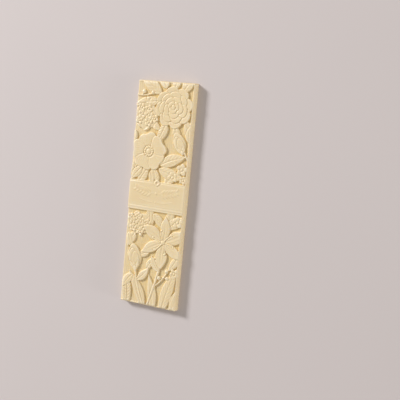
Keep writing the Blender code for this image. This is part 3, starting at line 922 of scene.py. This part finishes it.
@dataclass
class Face:
    """The bar's moulded face: heights over the sunk ground, on a square grid, in millimetres."""

    width: float
    length: float
    cell: float = 0.2
    depth: float = 1.38
    knee: float = 1.45
    knee_room: float = 0.4
    edge_reach: float = 0.22
    groove_reach: float = 0.35
    rib_pitch: float = 1.7
    rib_height: float = 0.06
    rim_width: float = 1.3
    rim_slope: float = 0.5
    rim_height: float = 1.15
    edge_round: float = 0.7
    edge_power: float = 2.2
    end_level: float = 0.6
    end_reach: float = 1.8
    softness: float = 0.15
    plain_field: PlainField = PlainField()
    gardens: Gardens = Gardens()
    columns: Grid = field(init=False)
    rows: Grid = field(init=False)
    height: Grid = field(init=False)

    def __post_init__(self) -> None:
        """Lays out the grid and the finely ribbed ground."""
        across, down = round(self.width / self.cell), round(self.length / self.cell)
        self.columns = np.linspace(-self.width / 2, self.width / 2, across + 1)
        self.rows = np.linspace(-self.length / 2, self.length / 2, down + 1)
        ribs = self.rib_height * np.cos(2.0 * np.pi * self.columns / self.rib_pitch)
        self.height = np.tile(ribs, (len(self.rows), 1))

    def lay(self, plate: Plate) -> None:
        """Sets one plate over what is there, with a groove cut round its outline.

        Args:
            plate: The plate to lay.
        """
        x, y, radius = plate.window()
        left, right = np.searchsorted(self.columns, (x - radius, x + radius))
        low, high = np.searchsorted(self.rows, (y - radius, y + radius))
        if right - left < 3 or high - low < 3:
            return
        across, along = np.meshgrid(self.columns[left:right], self.rows[low:high])
        below = self.height[low:high, left:right]
        inside, face = plate.surface(across, along, self.cell)
        cover = smooth_step((inside + self.edge_reach) / (2.0 * self.edge_reach))
        beside = np.minimum(inside + self.edge_reach, 0.0) / self.groove_reach
        groove = plate.relievo.cut * np.exp(-(beside**2))
        grooved = np.maximum(below - groove, np.minimum(below, 0.0))
        self.height[low:high, left:right] = grooved * (1.0 - cover) + face * cover

    def level_strip(self, foot: float, top: float, height: float) -> None:
        """Sets a flat strip right across the bar.

        Args:
            foot: Its lower edge along the bar.
            top: Its upper edge along the bar.
            height: Its height over the ground.
        """
        inside = np.minimum(self.rows - foot, top - self.rows)
        cover = smooth_step((inside + self.edge_reach) / (2.0 * self.edge_reach))[:, None]
        self.height = self.height * (1.0 - cover) + height * cover

    def lay_plain_field(self) -> None:
        """Sets the plain field, its ledges, its scribed lines and its low figures."""
        plain = self.plain_field
        self.level_strip(plain.ledge_foot, plain.ledge_top, plain.ledge_height)
        self.level_strip(plain.strip_foot, plain.top, plain.height)
        for line in (plain.top, plain.foot, plain.strip_foot):
            depth = plain.line_depth * np.exp(-(((self.rows - line) / plain.line_reach) ** 2))
            self.height -= depth[:, None]
        for motif in plain.figures():
            for plate in motif.plates():
                self.lay(plate)

    def finish_edges(self) -> None:
        """Eases both ends to one level, raises the rim at the right, and rolls the outer edge down."""
        from_ends = (self.rows[-1] - np.abs(self.rows))[:, None]
        kept = smooth_step(from_ends / self.end_reach)
        self.height = self.end_level + (self.height - self.end_level) * kept
        rim = smooth_step((self.columns - self.columns[-1] + self.rim_width) / self.rim_slope)
        self.height = np.maximum(self.height, self.rim_height * rim)
        from_sides = self.columns[-1] - np.abs(self.columns)
        near = np.minimum(from_sides, from_ends)
        self.height -= np.clip(1.0 - near / self.edge_round, 0.0, 1.0) ** self.edge_power

    def mould(self) -> None:
        """Lays the whole relief and softens it as a cast surface is."""
        for motif in self.gardens.upper + self.gardens.lower:
            for plate in motif.plates():
                self.lay(plate)
        self._level_tops()
        self.lay_plain_field()
        self.finish_edges()
        self.height = blurred(self.height, self.softness, self.cell)

    def _level_tops(self) -> None:
        """Gives the relief its depth, and draws its highest tops in toward one level."""
        deep = self.height * self.depth
        over = np.maximum(deep - self.knee, 0.0)
        eased = self.knee + self.knee_room * (1.0 - np.exp(-over / self.knee_room))
        self.height = np.where(deep > self.knee, eased, deep)

    def standing(self, reach_mm: float) -> Grid:
        """Gives heights over a softened copy of the face: positive on edges, negative in hollows."""
        return self.height - blurred(self.height, reach_mm, self.cell)

    def sample(self, values: Grid, x: Grid, y: Grid) -> Grid:
        """Reads a map of the face between its grid points.

        Args:
            values: A map on this grid.
            x: Across the bar.
            y: Along the bar.

        Returns:
            The map's values at those points.
        """
        last_column, last_row = len(self.columns) - 1.001, len(self.rows) - 1.001
        across = np.clip((x - self.columns[0]) / (self.columns[1] - self.columns[0]), 0, last_column)
        along = np.clip((y - self.rows[0]) / (self.rows[1] - self.rows[0]), 0, last_row)
        i, j = across.astype(int), along.astype(int)
        right, up = across - i, along - j
        lower = values[j, i] * (1.0 - right) + values[j, i + 1] * right
        upper = values[j + 1, i] * (1.0 - right) + values[j + 1, i + 1] * right
        return lower * (1.0 - up) + upper * up


class Flow:
    """A value that runs through a material's nodes and adds a Math node for each sum."""

    def __init__(self, graph: "Graph", socket: bpy.types.NodeSocket) -> None:
        """Wraps the output socket that the value comes from."""
        self.graph = graph
        self.socket = socket

    def _sum(self, operation: str, first: Any, second: Any) -> "Flow":
        """Adds one Math node over two values or flows."""
        return self.graph.add("ShaderNodeMath", {"operation": operation}, {0: first, 1: second})

    def __add__(self, other: Any) -> "Flow":
        """Adds."""
        return self._sum("ADD", self, other)

    def __sub__(self, other: Any) -> "Flow":
        """Subtracts."""
        return self._sum("SUBTRACT", self, other)

    def __mul__(self, other: Any) -> "Flow":
        """Multiplies."""
        return self._sum("MULTIPLY", self, other)

    __radd__ = __add__


class Graph:
    """The nodes of one material."""

    def __init__(self, name: str) -> None:
        """Starts a material with its Principled shader.

        Args:
            name: The material's name.
        """
        self.material = bpy.data.materials.new(name)
        self.material.use_nodes = True
        self.nodes = self.material.node_tree.nodes
        self.links = self.material.node_tree.links
        self.shader = self.nodes["Principled BSDF"]

    def put(self, node: bpy.types.Node, key: str | int, value: Any) -> None:
        """Sets or links one input.

        Args:
            node: The node that has the input.
            key: The input's name or number.
            value: A flow to link, or a plain value to set.
        """
        if isinstance(key, int):
            socket = node.inputs[key]
        else:
            socket = next(s for s in node.inputs if s.enabled and s.name == key)
        if isinstance(value, Flow):
            self.links.new(value.socket, socket)
        else:
            socket.default_value = value

    def add(
        self,
        kind: str,
        settings: dict[str, Any] | None = None,
        sockets: dict[str | int, Any] | None = None,
        output: str | None = None,
    ) -> Flow:
        """Adds one node.

        Args:
            kind: The node's type.
            settings: Its properties.
            sockets: The values or flows of its inputs.
            output: The name of the output to use; the first enabled one if left out.

        Returns:
            That output as a flow.
        """
        node = self.nodes.new(kind)
        for name, value in (settings or {}).items():
            setattr(node, name, value)
        for key, value in (sockets or {}).items():
            self.put(node, key, value)
        enabled = [s for s in node.outputs if s.enabled]
        chosen = next(s for s in enabled if output in (None, s.name))
        return Flow(self, chosen)

    def noise(self, place: Flow, scale: float, detail: float, roughness: float = 0.5) -> Flow:
        """Adds a Noise Texture, with its scale in waves per metre and its detail in octaves."""
        sockets = {"Vector": place, "Scale": scale, "Detail": detail, "Roughness": roughness}
        return self.add("ShaderNodeTexNoise", {}, sockets, "Fac")

    def bump(self, height: Flow, distance: float, **under: Flow) -> Flow:
        """Adds a Bump node that raises by a distance in metres, over another bump if given as Normal."""
        sockets = {"Strength": 1.0, "Distance": distance, "Height": height, **under}
        return self.add("ShaderNodeBump", {}, sockets)

    def blend(self, share: Flow, first: Any, second: Any) -> Flow:
        """Mixes two colours or flows: a share of 0 gives the first, 1 the second."""
        sockets = {"Factor": share, "A": first, "B": second}
        return self.add("ShaderNodeMix", {"data_type": "RGBA"}, sockets, "Result")

    def ramp(self, value: Flow, low: float, high: float) -> Flow:
        """Stretches a value's range from low to high to 0 to 1, clipped."""
        sockets = {"Value": value, "From Min": low, "From Max": high}
        return self.add("ShaderNodeMapRange", {"clamp": True}, sockets)


@dataclass(frozen=True)
class WhiteChocolate:
    """The finish of cast white chocolate: ivory, a little translucent, with a soft sheen, painted shade
    in the hollows, and a paler colour on raised edges that is partly wear and partly a painted highlight.
    """

    body: Colour = (0.84, 0.68, 0.425, 1.0)
    cream: Colour = (0.86, 0.712, 0.46, 1.0)
    # Painted shade: a darker, warmer colour laid into the hollows between plates, where shade falls.
    painted_pocket_shade: Colour = (0.81, 0.61, 0.28, 1.0)
    # Paler colour for raised edges: partly wear, partly a painted highlight.
    worn_and_highlight: Colour = (0.91, 0.81, 0.63, 1.0)
    cloud_scale: float = 55.0
    swirl_scale: float = 240.0
    grain_scale: float = 1900.0
    mottle: tuple[float, float] = (0.36, 0.66)
    worn_highlight_range: tuple[float, float] = (0.2, 0.8)
    worn_highlight_strength: float = 0.7
    pocket_shade_range: tuple[float, float] = (0.2, 0.9)
    roughness: float = 0.44
    cloud_gloss: float = 0.22
    grain_gloss: float = 0.12
    edge_gloss: float = 0.06
    refraction: float = 1.46
    translucence: float = 0.4
    light_path: Triple = (1.0, 0.9, 0.66)
    light_reach: float = 0.8 * MM
    grain_height: float = 0.02 * MM
    swirl_height: float = 0.05 * MM

    def material(self) -> bpy.types.Material:
        """Builds the material, which reads the piece's standing attribute and Object coordinates, and
        from the attribute paints shade into the hollows and a paler wear-and-highlight colour onto raised
        edges.
        """
        graph = Graph("white_chocolate")
        shader = graph.shader
        place = graph.add("ShaderNodeTexCoord", output="Object")
        source = {"attribute_type": "GEOMETRY", "attribute_name": "standing"}
        standing = graph.add("ShaderNodeAttribute", source, output="Fac")
        clouds = graph.noise(place, self.cloud_scale, 3.0)
        swirl = graph.noise(place, self.swirl_scale, 2.0)
        grain = graph.noise(place, self.grain_scale, 3.0, 0.6)
        # Mask of raised edges, which get the paler wear colour and painted highlight, and a little more
        # gloss.
        worn_highlit_edges = graph.ramp(standing, *self.worn_highlight_range)
        # Mask of the hollows, which get painted shade.
        shaded_pockets = graph.ramp(standing * -1.0, *self.pocket_shade_range)
        mottle = graph.ramp(clouds * 0.7 + swirl * 0.3, *self.mottle)
        mottled = graph.blend(mottle, self.body, self.cream)
        # Painted shade laid into the hollows over the mottled body colour.
        deep = graph.blend(shaded_pockets, mottled, self.painted_pocket_shade)
        # Paler wear colour and painted highlight laid onto the raised edges.
        graph.put(shader, "Base Color", graph.blend(worn_highlit_edges * self.worn_highlight_strength, deep, self.worn_and_highlight))
        gloss = self.roughness + (clouds - 0.5) * self.cloud_gloss
        gloss = gloss + (grain - 0.5) * self.grain_gloss - worn_highlit_edges * self.edge_gloss
        graph.put(shader, "Roughness", gloss)
        fine = graph.bump(grain, self.grain_height)
        graph.put(shader, "Normal", graph.bump(swirl, self.swirl_height, Normal=fine))
        graph.put(shader, "Subsurface Weight", self.translucence)
        graph.put(shader, "Subsurface Radius", self.light_path)
        graph.put(shader, "Subsurface Scale", self.light_reach)
        graph.put(shader, "IOR", self.refraction)
        return graph.material


@dataclass
class ChocolateBar:
    """The bar itself: a moulded face, drafted walls and a flat back, as one closed piece."""

    node: str = "chocolate_bar"
    wall_draft: float = 0.35
    corner_radius: float = 1.2
    back_round: float = 0.3
    ground_height: float = 5.0
    foot_of_face: float = 4.0
    standing_reach: float = 2.4
    smooth_angle: float = 60.0
    most_triangles: int = 190_000
    finish: WhiteChocolate = WhiteChocolate()

    def build(self) -> bpy.types.Object:
        """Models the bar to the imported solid's size and dresses it.

        Returns:
            The finished piece.
        """
        low, high = (Vector(corner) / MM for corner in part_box(self.node))
        width = round(high.x - low.x, 1) - 2.0 * self.wall_draft
        length = round(high.y - low.y, 1) - 2.0 * self.wall_draft
        face = Face(width, length)
        face.mould()
        bar = self._raise_face(face)
        self._close_body(bar, width, length)
        self._thin_out(bar)
        self._mark_standing(bar, face)
        bar.data.materials.append(self.finish.material())
        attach(bar, "root")
        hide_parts(self.node)
        LOG.info("%s: %d faces", bar.name, len(bar.data.polygons))
        return bar

    def _raise_face(self, face: Face) -> bpy.types.Object:
        """Adds a fine grid over the bar's face and lifts it to the relief.

        Args:
            face: The moulded face.

        Returns:
            The grid's object.
        """
        bpy.ops.object.select_all(action="DESELECT")
        bpy.ops.mesh.primitive_grid_add(
            x_subdivisions=len(face.columns) - 1, y_subdivisions=len(face.rows) - 1, size=1.0
        )
        bar = bpy.context.object
        bar.name = "moulded_bar"
        bar.scale = (face.width * MM, face.length * MM, 1.0)
        bpy.ops.object.transform_apply(location=False, rotation=False, scale=True)
        points = self._points(bar)
        x, y = points[:, 0], points[:, 1]
        points[:, 2] = self.ground_height + face.sample(face.height, x, y)
        points[:, 0], points[:, 1] = self._round_corners(x, y, face.width / 2, face.length / 2)
        bar.data.vertices.foreach_set("co", (points * MM).ravel())
        bar.data.update()
        return bar

    def _points(self, bar: bpy.types.Object) -> Grid:
        """Reads where the bar's points are.

        Args:
            bar: The bar.

        Returns:
            A row of three millimetres for each point.
        """
        points = np.empty(len(bar.data.vertices) * 3)
        bar.data.vertices.foreach_get("co", points)
        return points.reshape(-1, 3) / MM

    def _round_corners(
        self, x: Grid, y: Grid, half_width: float, half_length: float
    ) -> tuple[Grid, Grid]:
        """Draws the grid's square corners in to the bar's corner radius.

        Args:
            x: Across the bar.
            y: Along the bar.
            half_width: Half the face's width.
            half_length: Half the face's length.

        Returns:
            The new x and y.
        """
        radius = self.corner_radius
        past_x = np.clip((np.abs(x) - half_width) / radius + 1.0, 0.0, None)
        past_y = np.clip((np.abs(y) - half_length) / radius + 1.0, 0.0, None)
        far = np.maximum(np.hypot(past_x, past_y), 1e-9)
        corner = (past_x > 0.0) & (past_y > 0.0)
        shrink = np.where(corner, np.maximum(past_x, past_y) / far, 1.0)
        near_x = np.minimum(np.abs(x), half_width - radius)
        near_y = np.minimum(np.abs(y), half_length - radius)
        new_x = np.sign(x) * (near_x + past_x * shrink * radius)
        new_y = np.sign(y) * (near_y + past_y * shrink * radius)
        return new_x, new_y

    def _close_body(self, bar: bpy.types.Object, width: float, length: float) -> None:
        """Extrudes the face's border down to the back, with its draft and its small chamfer.

        Args:
            bar: The raised face.
            width: The face's width.
            length: The face's length.
        """
        outward = 1.0 + 2.0 * self.wall_draft / width, 1.0 + 2.0 * self.wall_draft / length
        inward = 1.0 - self.back_round / (width + 2.0 * self.wall_draft)
        bpy.ops.object.mode_set(mode="EDIT")
        bpy.ops.mesh.select_mode(type="EDGE")
        bpy.ops.mesh.select_all(action="SELECT")
        bpy.ops.mesh.region_to_loop()
        bpy.ops.mesh.extrude_region()
        shoulder = (0.0, 0.0, self.back_round * MM)
        bpy.ops.transform.resize(value=(*outward, 0.0), center_override=shoulder)
        bpy.ops.mesh.extrude_region()
        bpy.ops.transform.resize(value=(inward, inward, 0.0), center_override=(0.0, 0.0, 0.0))
        bpy.ops.mesh.edge_face_add()
        bpy.ops.mesh.select_all(action="SELECT")
        bpy.ops.mesh.normals_make_consistent(inside=False)
        bpy.ops.object.mode_set(mode="OBJECT")

    def _thin_out(self, bar: bpy.types.Object) -> None:
        """Takes triangles from the even stretches and keeps them where the relief turns.

        Args:
            bar: The closed body.
        """
        triangles = sum(len(face.vertices) - 2 for face in bar.data.polygons)
        fewer = bar.modifiers.new("fewer", "DECIMATE")
        fewer.ratio = min(1.0, self.most_triangles / triangles)
        bpy.ops.object.modifier_apply(modifier=fewer.name)
        bpy.ops.object.shade_smooth_by_angle(angle=math.radians(self.smooth_angle))

    def _mark_standing(self, bar: bpy.types.Object, face: Face) -> None:
        """Stores how far each point stands over its surroundings, from which the finish paints shade into
        hollows and a paler wear-and-highlight colour onto raised edges.

        Args:
            bar: The thinned body.
            face: The moulded face.
        """
        points = self._points(bar)
        values = face.sample(face.standing(self.standing_reach), points[:, 0], points[:, 1])
        on_face = points[:, 2] > self.foot_of_face
        mark = bar.data.attributes.new("standing", "FLOAT", "POINT")
        mark.data.foreach_set("value", np.where(on_face, values, 0.0))


@dataclass(frozen=True)
class Backdrop:
    """The finish of the plain pale floor."""

    colour: Triple = (0.66, 0.605, 0.612)
    shade: float = 0.97
    uneven_scale: float = 6.0
    roughness: float = 0.85

    def material(self) -> bpy.types.Material:
        """Builds a matt material with a hardly visible unevenness."""
        graph = Graph("pale_floor")
        place = graph.add("ShaderNodeTexCoord", output="Object")
        uneven = graph.noise(place, self.uneven_scale, 2.0)
        shaded = (*(self.shade * part for part in self.colour), 1.0)
        graph.put(graph.shader, "Base Color", graph.blend(uneven, (*self.colour, 1.0), shaded))
        graph.put(graph.shader, "Roughness", self.roughness)
        return graph.material


@dataclass(frozen=True)
class Lamp:
    """A soft square light that faces the bar from a bearing and an elevation in degrees."""

    name: str
    bearing: float
    elevation: float
    power: float
    size: float = 0.6
    distance: float = 3.0

    def hang(self) -> None:
        """Hangs the light."""
        lamp = bpy.data.lights.new(self.name, "AREA")
        lamp.size = self.size
        lamp.energy = self.power
        light = bpy.data.objects.new(self.name, lamp)
        toward = direction(self.bearing, self.elevation)
        light.location = toward * self.distance
        light.rotation_euler = toward.to_track_quat("Z", "Y").to_euler()
        bpy.context.scene.collection.objects.link(light)


@dataclass
class Studio:
    """A plain pale floor, soft light from the upper left, and the photograph's camera."""

    floor_size: float = 6.0
    floor_drop: float = 0.02 * MM
    aim: Triple = (38.6 * MM, 1.6 * MM, 6.6 * MM)
    distance: float = 537.7 * MM
    bearing: float = 14.7
    elevation: float = 64.74
    roll: float = 5.54
    lens: float = 63.0
    nearest: float = 10.0 * MM
    lamps: tuple[Lamp, ...] = (Lamp("key", 150.0, 29.0, 83.0), Lamp("fill", -6.0, 6.0, 32.0))
    sky_colour: Colour = (1.0, 0.95, 0.87, 1.0)
    sky_strength: float = 0.46

    def build(self) -> None:
        """Builds the floor, the light and the camera."""
        self._floor()
        for lamp in self.lamps:
            lamp.hang()
        self._sky()
        self._camera()
        bpy.context.scene.view_settings.view_transform = "Standard"

    def _floor(self) -> None:
        """Lays the floor just under the bar."""
        bpy.ops.object.select_all(action="DESELECT")
        bpy.ops.mesh.primitive_plane_add(size=self.floor_size, location=(0.0, 0.0, -self.floor_drop))
        floor = bpy.context.object
        floor.name = "floor"
        bpy.ops.object.transform_apply(location=True, rotation=False, scale=False)
        floor.data.materials.append(Backdrop().material())

    def _sky(self) -> None:
        """Sets an even pale light from all round."""
        world = bpy.data.worlds.new("soft_room")
        world.use_nodes = True
        background = world.node_tree.nodes["Background"]
        background.inputs["Color"].default_value = self.sky_colour
        background.inputs["Strength"].default_value = self.sky_strength
        bpy.context.scene.world = world

    def _camera(self) -> None:
        """Sets the camera where the photograph was taken from, seen from the bar."""
        back = direction(self.bearing, self.elevation)
        up = (Vector((0.0, 1.0, 0.0)) - back * back.y).normalized()
        level = Matrix((up.cross(back), up, back)).transposed()
        turn = level @ Matrix.Rotation(math.radians(self.roll), 3, "Z")
        camera = bpy.data.objects.new("camera", bpy.data.cameras.new("camera"))
        camera.data.lens = self.lens
        camera.data.clip_start = self.nearest
        camera.matrix_world = Matrix.LocRotScale(Vector(self.aim) + back * self.distance, turn, None)
        bpy.context.scene.collection.objects.link(camera)
        bpy.context.scene.camera = camera


def main() -> None:
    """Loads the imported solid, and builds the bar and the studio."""
    logging.basicConfig(level=logging.INFO, format="%(message)s")
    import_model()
    ChocolateBar().build()
    Studio().build()


if __name__ == "__main__":
    main()
